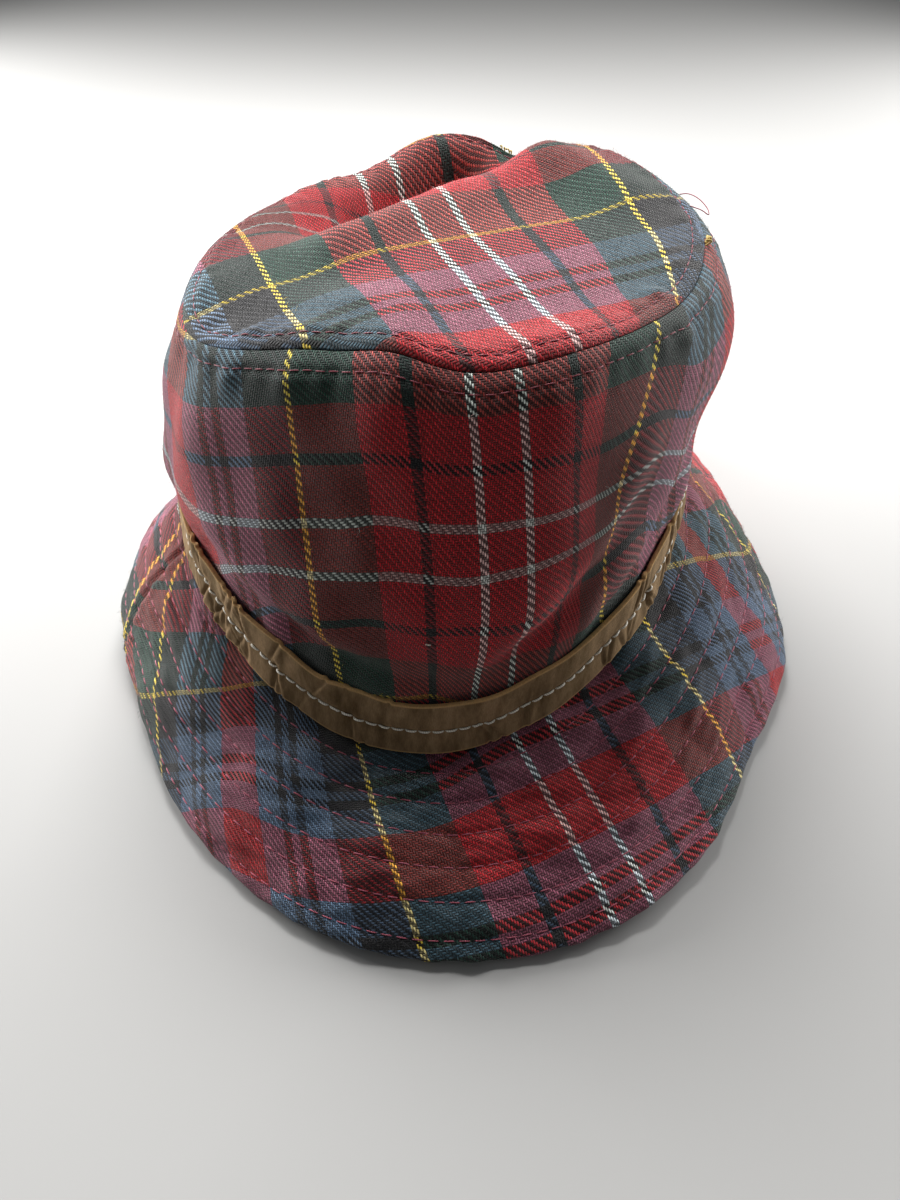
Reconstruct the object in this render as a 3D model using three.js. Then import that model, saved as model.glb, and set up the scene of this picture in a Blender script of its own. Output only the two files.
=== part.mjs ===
// A soft wool bucket hat, lying on its brim.
// Millimetres, +Z up, +X to the hat's right, -Y to its front. Azimuths are degrees from +X towards +Y.
//
// The crown side, tip, brim and hatband are walls of cloth or suede. Each is a closed lathe whose
// vertices are moved to where the sewn and slumped cloth lies, so every wall keeps its own thickness.

import * as THREE from 'three';

// ---------------------------------------------------------------- driving sizes

const CLOTH = 1.6; // crown cloth with its backing
const BRIM_CLOTH = 2.8; // two quilted layers
const SUEDE = 1.4; // hatband strip
const GAP = 0.5; // clearance between two sewn pieces, of which facets take up to half
const SEAM_LAP = 2.4; // brim margin that lies under the crown side

const AROUND = 72; // steps round the hat

// Ring where the crown side is sewn to the brim. It rises over the ears and dips at front and back.
const BRIM_SEAM = {
  halfWidth: 84.5, halfDepth: 97.5, x: -3, y: 0, egg: 0.05,
  sideHeight: 50, frontDip: 31, backDip: 25,
};

// Ring where the crown side is sewn to the tip.
const TIP_SEAM = { halfWidth: 77, halfDepth: 81, x: 0, y: 15, egg: 0, height: 122, leanX: 0.06 };
const TIP_RIM = 0.04; // share of the tip that lies flat on the crown side

// Outer edge of the brim. It rests on the surface all round.
const BRIM_EDGE = { halfWidth: 125, halfDepth: 152, x: 5, y: 0, egg: 0.04, thickness: 2.2 };
const BRIM_SLANT = 61; // width of the brim's cloth, seam to edge
const BRIM_BOW = { least: 0.4, most: 1.5 }; // spare width that arches the brim
const HEM = 0.07; // share of the brim's width that lies flat on the surface
const HEM_STEP = 0.2; // least height of the brim's underside inside the hem

const BAND = { foot: 1.2, width: 17 }; // hatband: its lower edge above the brim seam, and its width

// How far the crown side swells out, at shares of its height.
const SECTIONS = [
  { up: 0.0, swell: 0.0 },
  { up: 0.18, swell: 0.5 },
  { up: 0.35, swell: 3.0 },
  { up: 0.55, swell: 5.0 },
  { up: 0.75, swell: 5.0 },
  { up: 0.9, swell: 2.5 },
  { up: 1.0, swell: 0.0 },
];

// Waves in each ring: how far the cloth strays outwards and upwards round an azimuth.
const BRIM_SEAM_WAVES = [{ azimuth: 148, spread: 20, out: 0, up: -13 }];
const TIP_SEAM_WAVES = [
  { azimuth: 10, spread: 20, out: 4, up: 0 },
  { azimuth: 48, spread: 18, out: 3, up: 4 },
  { azimuth: 67, spread: 7, out: -3, up: -5 },
  { azimuth: 93, spread: 15, out: 0, up: 6 },
  { azimuth: 112, spread: 10, out: -4, up: -2 },
  { azimuth: 140, spread: 25, out: -9, up: 0 },
  { azimuth: 212, spread: 12, out: 6, up: -3 },
  { azimuth: 243, spread: 7, out: 0, up: 1.5 },
  { azimuth: 250, spread: 16, out: -6, up: 1 },
  { azimuth: 261, spread: 7.5, out: 0, up: 4.4 },
  { azimuth: 285, spread: 14, out: 1, up: 0 },
  { azimuth: 294, spread: 10, out: 0, up: 1.5 },
  { azimuth: 335, spread: 12, out: 1, up: -2.5 },
];
const BRIM_EDGE_WAVES = [
  { azimuth: 15, spread: 14, out: -7, up: 0 },
  { azimuth: 165, spread: 13, out: -18, up: 0 },
  { azimuth: 190, spread: 9, out: 1, up: 0 },
  { azimuth: 205, spread: 7, out: -2.5, up: 0 },
  { azimuth: 216, spread: 14, out: -3, up: 0 },
  { azimuth: 258, spread: 12, out: 2, up: 0 },
  { azimuth: 278, spread: 14, out: 1.5, up: 0 },
  { azimuth: 300, spread: 14, out: 4, up: 0 },
  { azimuth: 315, spread: 7, out: 1, up: 0 },
  { azimuth: 330, spread: 16, out: -9, up: 0 },
  { azimuth: 338, spread: 12, out: 6, up: 0 },
];

// Dents (out < 0) and bulges (out > 0) of the crown side.
const SIDE_FOLDS = [
  { azimuth: 8, spread: 22, up: 0.76, tall: 0.09, out: 5 },
  { azimuth: 168, spread: 16, up: 0.5, tall: 0.12, out: -3 },
  { azimuth: 180, spread: 30, up: 0.95, tall: 0.12, out: -4 },
  { azimuth: 270, spread: 32, up: 0.42, tall: 0.16, out: 6 },
  { azimuth: 345, spread: 14, up: 0.45, tall: 0.12, out: -2 },
];

// Valleys (up < 0) and ridges (up > 0) of the tip, each along a line.
const TIP_FOLDS = [
  { fromX: -1, fromY: 0, toX: 1, toY: 0, width: 40, up: 4 },
  { fromX: -45, fromY: -8, toX: 28, toY: 58, width: 9, up: 6 },
  { fromX: -50, fromY: 18, toX: 18, toY: 88, width: 9, up: -9 },
  { fromX: 42, fromY: 64, toX: 62, toY: 40, width: 11, up: 5 },
];

// ---------------------------------------------------------------- helpers

const radians = THREE.MathUtils.degToRad;
const clamp = THREE.MathUtils.clamp;

// A soft bump, 1 on the azimuth and fading over its spread.
function bump(azimuth, wave) {
  const away = THREE.MathUtils.euclideanModulo(azimuth - wave.azimuth + 180, 360) - 180;
  return Math.exp(-0.5 * (away / wave.spread) ** 2);
}

function total(rows, weight) {
  return rows.reduce((sum, row) => sum + weight(row), 0);
}

// A smooth curve through the rows of a table.
function along(rows, key, value, at) {
  const last = rows.length - 1;
  const i = clamp(rows.findIndex((row) => row[key] >= at) - 1, 0, last - 1);
  const slope = (k) => {
    const a = rows[Math.max(k - 1, 0)];
    const b = rows[Math.min(k + 1, last)];
    return (b[value] - a[value]) / (b[key] - a[key]);
  };
  const span = rows[i + 1][key] - rows[i][key];
  const t = (at - rows[i][key]) / span;
  const start = (1 + 2 * t) * (1 - t) ** 2 * rows[i][value] + t * (1 - t) ** 2 * span * slope(i);
  const end = t * t * (3 - 2 * t) * rows[i + 1][value] - t * t * (1 - t) * span * slope(i + 1);
  return start + end;
}

// A point of an egg-shaped ring with its waves.
function ring(size, waves, azimuth, height) {
  const turn = radians(azimuth);
  const out = total(waves, (wave) => wave.out * bump(azimuth, wave));
  const up = total(waves, (wave) => wave.up * bump(azimuth, wave));
  const x = size.halfWidth * Math.cos(turn) * (1 + size.egg * Math.sin(turn)) + out * Math.cos(turn);
  const y = size.halfDepth * Math.sin(turn) + out * Math.sin(turn);
  return new THREE.Vector3(size.x + x, size.y + y, height(x, turn) + up);
}

// The point that lies a distance off a surface, along its normal.
function offset(surface, azimuth, share, distance) {
  const step = 0.01;
  const round = surface(azimuth + 1, share).sub(surface(azimuth - 1, share));
  const rise = surface(azimuth, share + step).sub(surface(azimuth, share - step));
  const normal = round.cross(rise).normalize();
  return surface(azimuth, share).addScaledVector(normal, distance);
}

// ---------------------------------------------------------------- surfaces of the sewn cloth

function brimSeam(azimuth) {
  return ring(BRIM_SEAM, BRIM_SEAM_WAVES, azimuth, (x, turn) => {
    const dip = Math.sin(turn) < 0 ? BRIM_SEAM.frontDip : BRIM_SEAM.backDip;
    return BRIM_SEAM.sideHeight - dip * Math.sin(turn) ** 2;
  });
}

// Height of the leaning plane that the tip's seam waves about.
function tipPlane(x) {
  return TIP_SEAM.height + TIP_SEAM.leanX * x;
}

function tipSeam(azimuth) {
  return ring(TIP_SEAM, TIP_SEAM_WAVES, azimuth, tipPlane);
}

function brimEdge(azimuth) {
  return ring(BRIM_EDGE, BRIM_EDGE_WAVES, azimuth, () => 0);
}

// Outer face of the crown side, from the brim seam (up 0) to the tip seam (up 1).
function side(azimuth, up) {
  const level = clamp(up, 0, 1);
  const fade = clamp(level * 6, 0, 1) * clamp((1 - level) * 12, 0, 1);
  const folds = total(SIDE_FOLDS, (fold) => (
    fold.out * bump(azimuth, fold) * Math.exp(-0.5 * ((level - fold.up) / fold.tall) ** 2)));
  const swell = along(SECTIONS, 'up', 'swell', level) + folds * fade;
  const point = brimSeam(azimuth).lerp(tipSeam(azimuth), up);
  point.z += GAP * (1 - up);
  point.x += swell * Math.cos(radians(azimuth));
  point.y += swell * Math.sin(radians(azimuth));
  return point;
}

// Underside of the tip, from its middle (out 0) to the tip seam (out 1).
function tip(azimuth, out) {
  const seam = tipSeam(azimuth);
  const point = new THREE.Vector3(TIP_SEAM.x, TIP_SEAM.y, 0).lerp(seam, out);
  const inside = Math.min(out / (1 - TIP_RIM), 1);
  const height = tipPlane(point.x) + (seam.z - tipPlane(seam.x)) * inside ** 2;
  const lift = total(TIP_FOLDS, (fold) => {
    const line = new THREE.Line3(
      new THREE.Vector3(fold.fromX, fold.fromY, 0), new THREE.Vector3(fold.toX, fold.toY, 0));
    const flat = new THREE.Vector3(point.x, point.y, 0);
    const away = line.closestPointToPoint(flat, true, new THREE.Vector3()).distanceTo(flat);
    return fold.up * Math.exp(-0.5 * (away / fold.width) ** 2);
  });
  return point.setZ(height + GAP + lift * clamp((1 - inside) * 4, 0, 1) ** 0.7);
}

// Top face of the brim, from the seam (out 0) to the edge (out 1); below 0 it lies under the crown.
function brimTop(azimuth, out) {
  const seam = brimSeam(azimuth);
  const edge = brimEdge(azimuth);
  edge.z += BRIM_EDGE.thickness;
  const slope = edge.clone().sub(seam);
  const run = Math.hypot(slope.x, slope.y);
  const outward = new THREE.Vector3(slope.x / run, slope.y / run, 0);
  if (out < 0) return seam.addScaledVector(outward, out * run);
  const chord = slope.length();
  const spare = clamp(BRIM_SLANT - chord, BRIM_BOW.least, BRIM_BOW.most);
  const arch = 5.4 * out ** 1.5 * (1 - out) * Math.sqrt(0.375 * chord * spare);
  const normal = outward.multiplyScalar(-slope.z / chord).setZ(run / chord);
  return seam.addScaledVector(slope, out).addScaledVector(normal, arch);
}

// Where a face of the brim lies: its top, its flat hem, or its underside. The brim runs outwards, so
// its normal points down and a distance along it thickens the cloth.
function brimFace(azimuth, out, face) {
  if (face === 'hem') return brimSeam(azimuth).lerp(brimEdge(azimuth), out).setZ(0);
  const top = brimTop(azimuth, out);
  if (face === 'top') return top;
  if (out < 0) return top.setZ(top.z - BRIM_CLOTH);
  const under = offset(brimTop, azimuth, clamp(out, 0.02, 0.98), BRIM_CLOTH);
  return under.setZ(Math.max(under.z, HEM_STEP));
}

// ---------------------------------------------------------------- closed walls

// A lathe whose profile names, for each vertex, how far along the wall it lies and on which face.
function wall(profile, place) {
  const outline = profile.map(([share], i) => new THREE.Vector2(share, i));
  const geometry = new THREE.LatheGeometry(outline, AROUND);
  const position = geometry.attributes.position;
  for (let i = 0; i < position.count; i += 1) {
    const turn = Math.floor(i / profile.length) % AROUND;
    const [share, face] = profile[i % profile.length];
    const point = place((360 * turn) / AROUND, share, face);
    position.setXYZ(i, point.x, point.y, point.z);
  }
  geometry.computeVertexNormals();
  return geometry;
}

// Shares from one end to the other, in even steps.
function steps(from, to, count, face) {
  return Array.from({ length: count + 1 }, (_, i) => [from + ((to - from) * i) / count, face]);
}

function closed(profile) {
  return [...profile, profile[0]];
}

function crownSide() {
  const profile = closed([...steps(0, 1, 12, 'outer'), ...steps(1, 0, 12, 'inner')]);
  return wall(profile, (azimuth, up, face) => {
    const outer = side(azimuth, up);
    if (face === 'outer') return outer;
    const inner = offset(side, azimuth, clamp(up, 0.02, 0.98), -CLOTH);
    return inner.setZ(up === 0 || up === 1 ? outer.z : inner.z);
  });
}

function crownTip() {
  const flat = 1 - TIP_RIM;
  const profile = [
    ...steps(0, flat, 8, 'under'), [1, 'under'], [1, 'top'], ...steps(flat, 0, 8, 'top')];
  return wall(profile, (azimuth, out, face) => {
    const point = tip(azimuth, out);
    return face === 'top' ? point.setZ(point.z + CLOTH) : point;
  });
}

function hatband() {
  const top = BAND.foot + BAND.width;
  const profile = closed([...steps(BAND.foot, top, 2, SUEDE + GAP), ...steps(top, BAND.foot, 2, GAP)]);
  return wall(profile, (azimuth, up, away) => {
    const height = brimSeam(azimuth).distanceTo(tipSeam(azimuth));
    return offset(side, azimuth, up / height, away);
  });
}

function brim() {
  const margin = -SEAM_LAP / BRIM_SLANT;
  const profile = closed([
    [1, 'hem'], [1, 'top'],
    ...steps(0.9, 0, 6, 'top'), [margin, 'top'],
    [margin, 'under'], ...steps(0, 1 - 2 * HEM, 5, 'under'), [1 - HEM, 'hem'],
  ]);
  return wall(profile, brimFace);
}

// ---------------------------------------------------------------- the hat

const PIECES = [
  { name: 'crown_tip', geometry: crownTip(), color: '#8f2a33', roughness: 0.9 },
  { name: 'crown_side', geometry: crownSide(), color: '#6e2028', roughness: 0.9 },
  { name: 'hatband', geometry: hatband(), color: '#7a5a3c', roughness: 0.95 },
  { name: 'brim', geometry: brim(), color: '#3c4654', roughness: 0.9 },
];

const hat = new THREE.Group();
for (const { name, geometry, color, roughness } of PIECES) {
  const material = new THREE.MeshStandardMaterial({ color, roughness, metalness: 0 });
  const mesh = new THREE.Mesh(geometry, material);
  mesh.name = name;
  hat.add(mesh);
}

// The origin is under the middle of the hat, on the surface that it rests on.
const box = new THREE.Box3().setFromObject(hat);
const middle = box.getCenter(new THREE.Vector3());
hat.position.set(-middle.x, -middle.y, -box.min.z);

export default hat;
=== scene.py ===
# %% [markdown]
# # A soft tartan bucket hat
# A bucket hat is sewn from flat cloth: an oval tip, a tall side and a sloping brim of two quilted
# layers. This one is worn soft, so it slumps as it lies on its brim and its tip sinks in a long fold.
# The CAD frame holds the four plain walls at their real size. This lesson gives them what the eye
# reads as wool: a tartan woven thread by thread, seams that pull the cloth in, rows of topstitch,
# a creased suede band and a haze of loose fibres.

# %% Load the fixed frame
import math

import bmesh
import bpy
import numpy as np
from mathutils import Matrix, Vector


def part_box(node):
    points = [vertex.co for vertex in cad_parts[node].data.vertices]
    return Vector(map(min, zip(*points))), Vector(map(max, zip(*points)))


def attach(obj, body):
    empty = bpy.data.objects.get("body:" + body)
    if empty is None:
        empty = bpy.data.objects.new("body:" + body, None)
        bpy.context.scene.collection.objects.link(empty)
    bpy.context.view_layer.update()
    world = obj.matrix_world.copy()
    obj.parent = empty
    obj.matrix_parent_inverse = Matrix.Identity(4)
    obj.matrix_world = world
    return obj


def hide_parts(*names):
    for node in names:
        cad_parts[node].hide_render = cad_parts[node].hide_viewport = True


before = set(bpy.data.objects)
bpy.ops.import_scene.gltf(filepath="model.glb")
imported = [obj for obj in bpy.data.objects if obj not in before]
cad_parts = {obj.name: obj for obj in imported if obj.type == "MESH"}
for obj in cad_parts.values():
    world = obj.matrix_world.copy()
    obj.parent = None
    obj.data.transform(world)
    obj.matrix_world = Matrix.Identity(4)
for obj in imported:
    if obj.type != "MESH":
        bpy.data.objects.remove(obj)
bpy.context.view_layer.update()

# %% [markdown]
# ## Soft curves from short tables
# Cloth has few straight lines, so every surface here is a formula fed by short tables: a row is one
# bump, fold or measured spot, and its columns have names. Two readers are enough. One adds up soft
# bumps round the hat, and the other draws a smooth curve through the rows.
# A mesh could be sculpted by hand instead, but a table keeps each fold where a reader can find it.

# %% Tables, bumps and smooth curves
def table(columns, *rows):
    """A table kept as one array for each named column."""
    return dict(zip(columns.split(), np.array(rows, float).T))


def waves(rows, azimuth, value):
    """Soft bumps round the hat, added up. Each fades over its spread, in degrees."""
    away = degrees_between(np.asarray(azimuth)[..., None], rows["azimuth"])
    return (rows[value] * np.exp(-0.5 * (away / rows["spread"]) ** 2)).sum(-1)


def through(xs, ys, at):
    """A smooth curve through the points (xs, ys), read at any places between the ends."""
    xs, ys, at = np.asarray(xs, float), np.asarray(ys, float), np.asarray(at, float)
    order = np.arange(len(xs))
    before, after = np.maximum(order - 1, 0), np.minimum(order + 1, len(xs) - 1)
    slope = ((ys[after] - ys[before]).T / (xs[after] - xs[before])).T
    i = np.clip(np.searchsorted(xs, at) - 1, 0, len(xs) - 2)
    span = xs[i + 1] - xs[i]
    t = np.clip((at - xs[i]) / span, 0, 1)
    if ys.ndim > 1:
        span, t = span[:, None], t[:, None]
    start = (1 + 2 * t) * (1 - t) ** 2 * ys[i] + t * (1 - t) ** 2 * span * slope[i]
    return start + t * t * (3 - 2 * t) * ys[i + 1] - t * t * (1 - t) * span * slope[i + 1]


def bell(x):
    """A soft bump: 1 at 0, and nearly gone at 2 on either side."""
    return np.exp(-(x**2))


def ease(x):
    """Rises softly from 0 to 1 as x does."""
    x = np.clip(x, 0, 1)
    return x * x * (3 - 2 * x)


def unit(vectors):
    """The same directions, each one long."""
    return vectors / np.maximum(np.linalg.norm(vectors, axis=-1, keepdims=True), 1e-9)


def degrees_between(azimuth, middle):
    """How far round the hat an azimuth is from a middle, from -180 to 180."""
    return (azimuth - middle + 180) % 360 - 180


print("at a quarter, ease gives", ease(0.25), "and bell", round(bell(0.25), 3))

# %% [markdown]
# ## The rings that the hat is sewn on
# Three rings carry the whole form: the seam between side and brim, the seam between side and tip,
# and the brim's edge on the floor. They are egg-shaped ovals, and their waves are where the slumped
# cloth strays. The sizes are the CAD model's own, in millimetres, so the looks land on the frame.

# %% Sizes of the three rings
CLOTH, QUILTED, SUEDE = 1.6, 2.2, 1.4  # thickness of the crown's cloth, the brim and the band
GAP = 0.5  # between two walls

BRIM_SEAM = dict(half_width=84.5, half_depth=97.5, x=-3, y=0, egg=0.05)
BRIM_SEAM_HEIGHT = dict(side=50, front_dip=31, back_dip=25)
TIP_SEAM = dict(half_width=77, half_depth=81, x=0, y=15, egg=0)
TIP_PLANE = dict(height=122, lean_x=0.06)
BRIM_EDGE = dict(half_width=125, half_depth=152, x=5, y=0, egg=0.04)

BRIM_SEAM_WAVES = table("azimuth spread out up", (148, 20, 0, -13))
TIP_SEAM_WAVES = table(
    "azimuth spread out up",
    (10, 20, 4, 0), (48, 18, 3, 4), (67, 7, -3, -5), (93, 15, 0, 6), (112, 10, -4, -2),
    (140, 25, -9, 0), (212, 12, 6, -3), (243, 7, 0, 1.5), (250, 16, -6, 1), (261, 7.5, 0, 4.4),
    (285, 14, 1, 0), (294, 10, 0, 1.5), (335, 12, 1, -2.5),
)
BRIM_EDGE_WAVES = table(
    "azimuth spread out up",
    (15, 14, -7, 0), (165, 13, -18, 0), (190, 9, 1, 0), (205, 7, -2.5, 0), (216, 14, -3, 0),
    (258, 12, 2, 0), (278, 14, 1.5, 0), (300, 14, 4, 0), (315, 7, 1, 0), (330, 16, -9, 0),
    (338, 12, 6, 0),
)
print("crown foot, mm:", 2 * BRIM_SEAM["half_width"], "x", 2 * BRIM_SEAM["half_depth"])

# %% The three rings
def ring(size, strays, azimuth):
    """Points of an oval ring, with the cloth's waves in it."""
    turn = np.radians(azimuth)
    out = waves(strays, azimuth, "out")
    across = size["half_width"] * np.cos(turn) * (1 + size["egg"] * np.sin(turn))
    x = size["x"] + across + out * np.cos(turn)
    y = size["y"] + (size["half_depth"] + out) * np.sin(turn)
    return np.stack([x, y, waves(strays, azimuth, "up")], -1)


def brim_seam(azimuth):
    """Where side and brim are sewn. It rises over the ears and dips at front and back."""
    points = ring(BRIM_SEAM, BRIM_SEAM_WAVES, azimuth)
    front = np.sin(np.radians(azimuth))
    dip = np.where(front < 0, BRIM_SEAM_HEIGHT["front_dip"], BRIM_SEAM_HEIGHT["back_dip"])
    points[..., 2] += BRIM_SEAM_HEIGHT["side"] - dip * front**2
    return points


def tip_plane(x):
    """Height of the leaning plane that the tip waves about."""
    return TIP_PLANE["height"] + TIP_PLANE["lean_x"] * x


def tip_seam(azimuth):
    """Where side and tip are sewn."""
    points = ring(TIP_SEAM, TIP_SEAM_WAVES, azimuth)
    points[..., 2] += tip_plane(points[..., 0])
    return points


def brim_edge(azimuth):
    """The brim's outer edge, on the floor."""
    return ring(BRIM_EDGE, BRIM_EDGE_WAVES, azimuth)


def side_tall(azimuth):
    """Straight height of the crown side, from the brim seam to the tip seam."""
    return np.linalg.norm(tip_seam(azimuth) - brim_seam(azimuth), axis=-1)


all_round = np.arange(0, 360, 5.0)
edge_points = brim_edge(all_round)
drawn_middle = (edge_points.min(0) + edge_points.max(0)) / 2
brim_low, brim_high = (np.array(corner) * 1000 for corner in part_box("brim"))
TO_FRAME = (brim_low + brim_high) / 2 - drawn_middle
TO_FRAME[2] = brim_low[2]
print("rings move into the frame by, mm:", TO_FRAME.round(2))

# %% [markdown]
# ## The camera
# The hat is seen from above its front edge, close, as when it lies on a table before you. A close,
# wide lens makes the tip large and lets the side taper away below it, and that taper is a big part
# of how a hat reads, so the distance matters as much as the angle.

# %% Camera
CAMERA = dict(x=4, y=-257, z=238, down=44.5, roll=0.6, lens=18, sensor=24)

camera = bpy.data.objects.new("camera", bpy.data.cameras.new("camera"))
camera.data.sensor_fit = "VERTICAL"
camera.data.sensor_height = CAMERA["sensor"]
camera.data.lens = CAMERA["lens"]
camera.data.clip_start = 0.01
place = (np.array([CAMERA["x"], CAMERA["y"], CAMERA["z"]]) + TO_FRAME) / 1000
camera.matrix_world = (
    Matrix.Translation(place)
    @ Matrix.Rotation(math.radians(90 - CAMERA["down"]), 4, "X")
    @ Matrix.Rotation(math.radians(CAMERA["roll"]), 4, "Z")
)
bpy.context.scene.collection.objects.link(camera)
bpy.context.scene.camera = camera
print("camera at, metres:", place.round(3))

# %% [markdown]
# ## Floor and light
# A pale matt board lies under the hat. Wool looks best in soft light from both sides and a little
# behind: it grazes the twill, so the ribs stand out, and lights the loose fibres along the outline.
# Two low area lights do this, a small one above brings out the tip, and a dim, even world fills the
# shadows. The plain Standard view keeps the dyed reds as strong as they are on the cloth.

# %% Colour and shader helpers
def linear(code):
    """Turns an sRGB hex colour into the linear colour that a shader works with."""
    channels = [int(code[i : i + 2], 16) / 255 for i in (1, 3, 5)]
    return [c / 12.92 if c <= 0.04045 else ((c + 0.055) / 1.055) ** 2.4 for c in channels] + [1]


def add_node(tree, kind, inputs=None, **settings):
    """Adds a node, applies its settings, and links or sets its inputs. Gives the node back."""
    node = tree.nodes.new("ShaderNode" + kind)
    for name, value in settings.items():
        setattr(node, name, value)
    for key, value in (inputs or {}).items():
        if isinstance(value, bpy.types.Node):
            value = value.outputs[0]
        if isinstance(value, bpy.types.NodeSocket):
            tree.links.new(value, node.inputs[key])
        else:
            node.inputs[key].default_value = value
    return node


def new_material(name):
    """An empty material and its node tree."""
    material = bpy.data.materials.new(name)
    material.use_nodes = True
    material.node_tree.nodes.clear()
    return material, material.node_tree


print("sRGB middle grey as linear light:", round(linear("#808080")[0], 3))

# %% Floor, light and world
FLOOR_HALF = 3.0  # metres from the hat to the board's edge

# Matt painted board: an even, chalky coat that scatters light and shows no gloss.
board, tree = new_material("matt_painted_board")
coat = add_node(tree, "TexNoise", {"Scale": 900.0, "Detail": 2.0})
grain = add_node(tree, "Bump", {"Height": coat, "Strength": 0.05, "Distance": 0.0002})
paint = add_node(
    tree,
    "BsdfPrincipled",
    {"Base Color": linear("#acaba9"), "Roughness": 0.75, "IOR": 1.5, "Normal": grain},
)
add_node(tree, "OutputMaterial", {"Surface": paint})

floor_mesh = bpy.data.meshes.new("floor")
corners = [(-1, -1), (1, -1), (1, 1), (-1, 1)]
floor_mesh.from_pydata([(x * FLOOR_HALF, y * FLOOR_HALF, 0) for x, y in corners], [], [(0, 1, 2, 3)])
floor_mesh.materials.append(board)
floor = bpy.data.objects.new("floor", floor_mesh)
bpy.context.scene.collection.objects.link(floor)

LIGHTS = table(
    "x y z size watts", (-0.8, 0.45, 0.23, 0.5, 18), (0.8, 0.45, 0.23, 0.5, 13),
    (-0.08, 0.34, 0.52, 0.35, 7.8),
)
for number in range(len(LIGHTS["x"])):
    lamp = bpy.data.lights.new(f"soft_light_{number}", "AREA")
    lamp.size = LIGHTS["size"][number]
    lamp.energy = LIGHTS["watts"][number]
    holder = bpy.data.objects.new(lamp.name, lamp)
    spot = np.array([LIGHTS[axis][number] for axis in "xyz"])
    back = unit(spot)  # a lamp shines along its own -Z, so its Z points away from the hat
    side = unit(np.cross((0, 0, 1), back))
    turned = np.stack([side, np.cross(back, side), back]).T
    holder.matrix_world = Matrix([(*row, at) for row, at in zip(turned, spot)] + [(0, 0, 0, 1)])
    holder.visible_camera = False
    bpy.context.scene.collection.objects.link(holder)

world = bpy.data.worlds.new("soft_daylight")
world.use_nodes = True
sky = world.node_tree.nodes["Background"]
sky.inputs["Color"].default_value = linear("#eef1f3")
sky.inputs["Strength"].default_value = 0.17
bpy.context.scene.world = world
bpy.context.scene.view_settings.view_transform = "Standard"
print("lights:", len(LIGHTS["x"]))

# %% [markdown]
# ## Woven wool
# The cloth is a 2/2 twill: each thread passes over two and under two, one step further on each row,
# which draws the slanting ribs. A tartan repeats one list of stripes, the sett, in the warp and again
# in the weft, and mirrors it at each end. Where the two meet, the floats on top show pure colour side
# by side, and the eye mixes red and green into brown, or red and blue into mauve.
# A picture of tartan would blur up close. Here each piece carries a UV map that counts threads: the
# whole part of U and V names the threads that cross, and the fraction says where inside them we are.
# From those few numbers the material works out which thread is on top, its dye and how it bulges.

# %% The tartan's sett
THREAD = 0.59  # millimetres from one thread to the next

SETT = [
    ("scarlet", 9), ("white", 4), ("scarlet", 22), ("black", 4), ("scarlet", 22), ("bottle", 32),
    ("yellow", 3), ("black", 24), ("azure", 16), ("black", 5), ("azure", 4), ("black", 5),
    ("azure", 16), ("scarlet", 15),
]
DYES = {
    "scarlet": "#c4242c", "white": "#f4f5ee", "black": "#1a1a1e",
    "bottle": "#153f31", "yellow": "#ffde48", "azure": "#5d7590",
}
HALF_SETT = sum(count for _, count in SETT)
print("threads in the half sett:", HALF_SETT, "=", round(HALF_SETT * THREAD), "mm")

# %% Wool twill: the threads, counted
# Threads wander a little, as hand-finished cloth does.
WANDER = 1.5

wool, tree = new_material("wool_twill_tartan")
counted = add_node(tree, "UVMap", uv_map="threads")
drift = add_node(
    tree, "TexNoise", {"Vector": counted, "Scale": 0.05, "Detail": 3.0}, noise_dimensions="2D")
strayed = add_node(
    tree,
    "VectorMath",
    {0: drift.outputs["Color"], 1: (WANDER, WANDER, 0), 2: counted},
    operation="MULTIPLY_ADD",
)
named = add_node(tree, "SeparateXYZ", {0: add_node(tree, "VectorMath", {0: strayed}, operation="FLOOR")})
within = add_node(
    tree, "SeparateXYZ", {0: add_node(tree, "VectorMath", {0: strayed}, operation="FRACTION")})
print("threads wander by up to, mm:", round(WANDER * THREAD, 2))

# %% Wool twill: the sett, read once along the warp and once along the weft
dyed = {}
for direction, axis in (("warp", "X"), ("weft", "Y")):
    centre = add_node(tree, "Math", {0: named.outputs[axis], 1: 0.5}, operation="ADD")
    mirrored = add_node(tree, "Math", {0: centre, 1: float(HALF_SETT)}, operation="PINGPONG")
    share = add_node(tree, "Math", {0: mirrored, 1: float(HALF_SETT)}, operation="DIVIDE")
    stripes = add_node(tree, "ValToRGB", {"Fac": share}, label=direction)
    stripes.color_ramp.interpolation = "CONSTANT"
    stripes.color_ramp.elements.remove(stripes.color_ramp.elements[1])
    thread = 0
    for dye, count in SETT:
        stripe = (
            stripes.color_ramp.elements.new(thread / HALF_SETT)
            if thread else stripes.color_ramp.elements[0])
        stripe.position = thread / HALF_SETT
        stripe.color = linear(DYES[dye])
        thread += count
    dyed[direction] = stripes
print("stripes in each ramp:", len(SETT))

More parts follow.
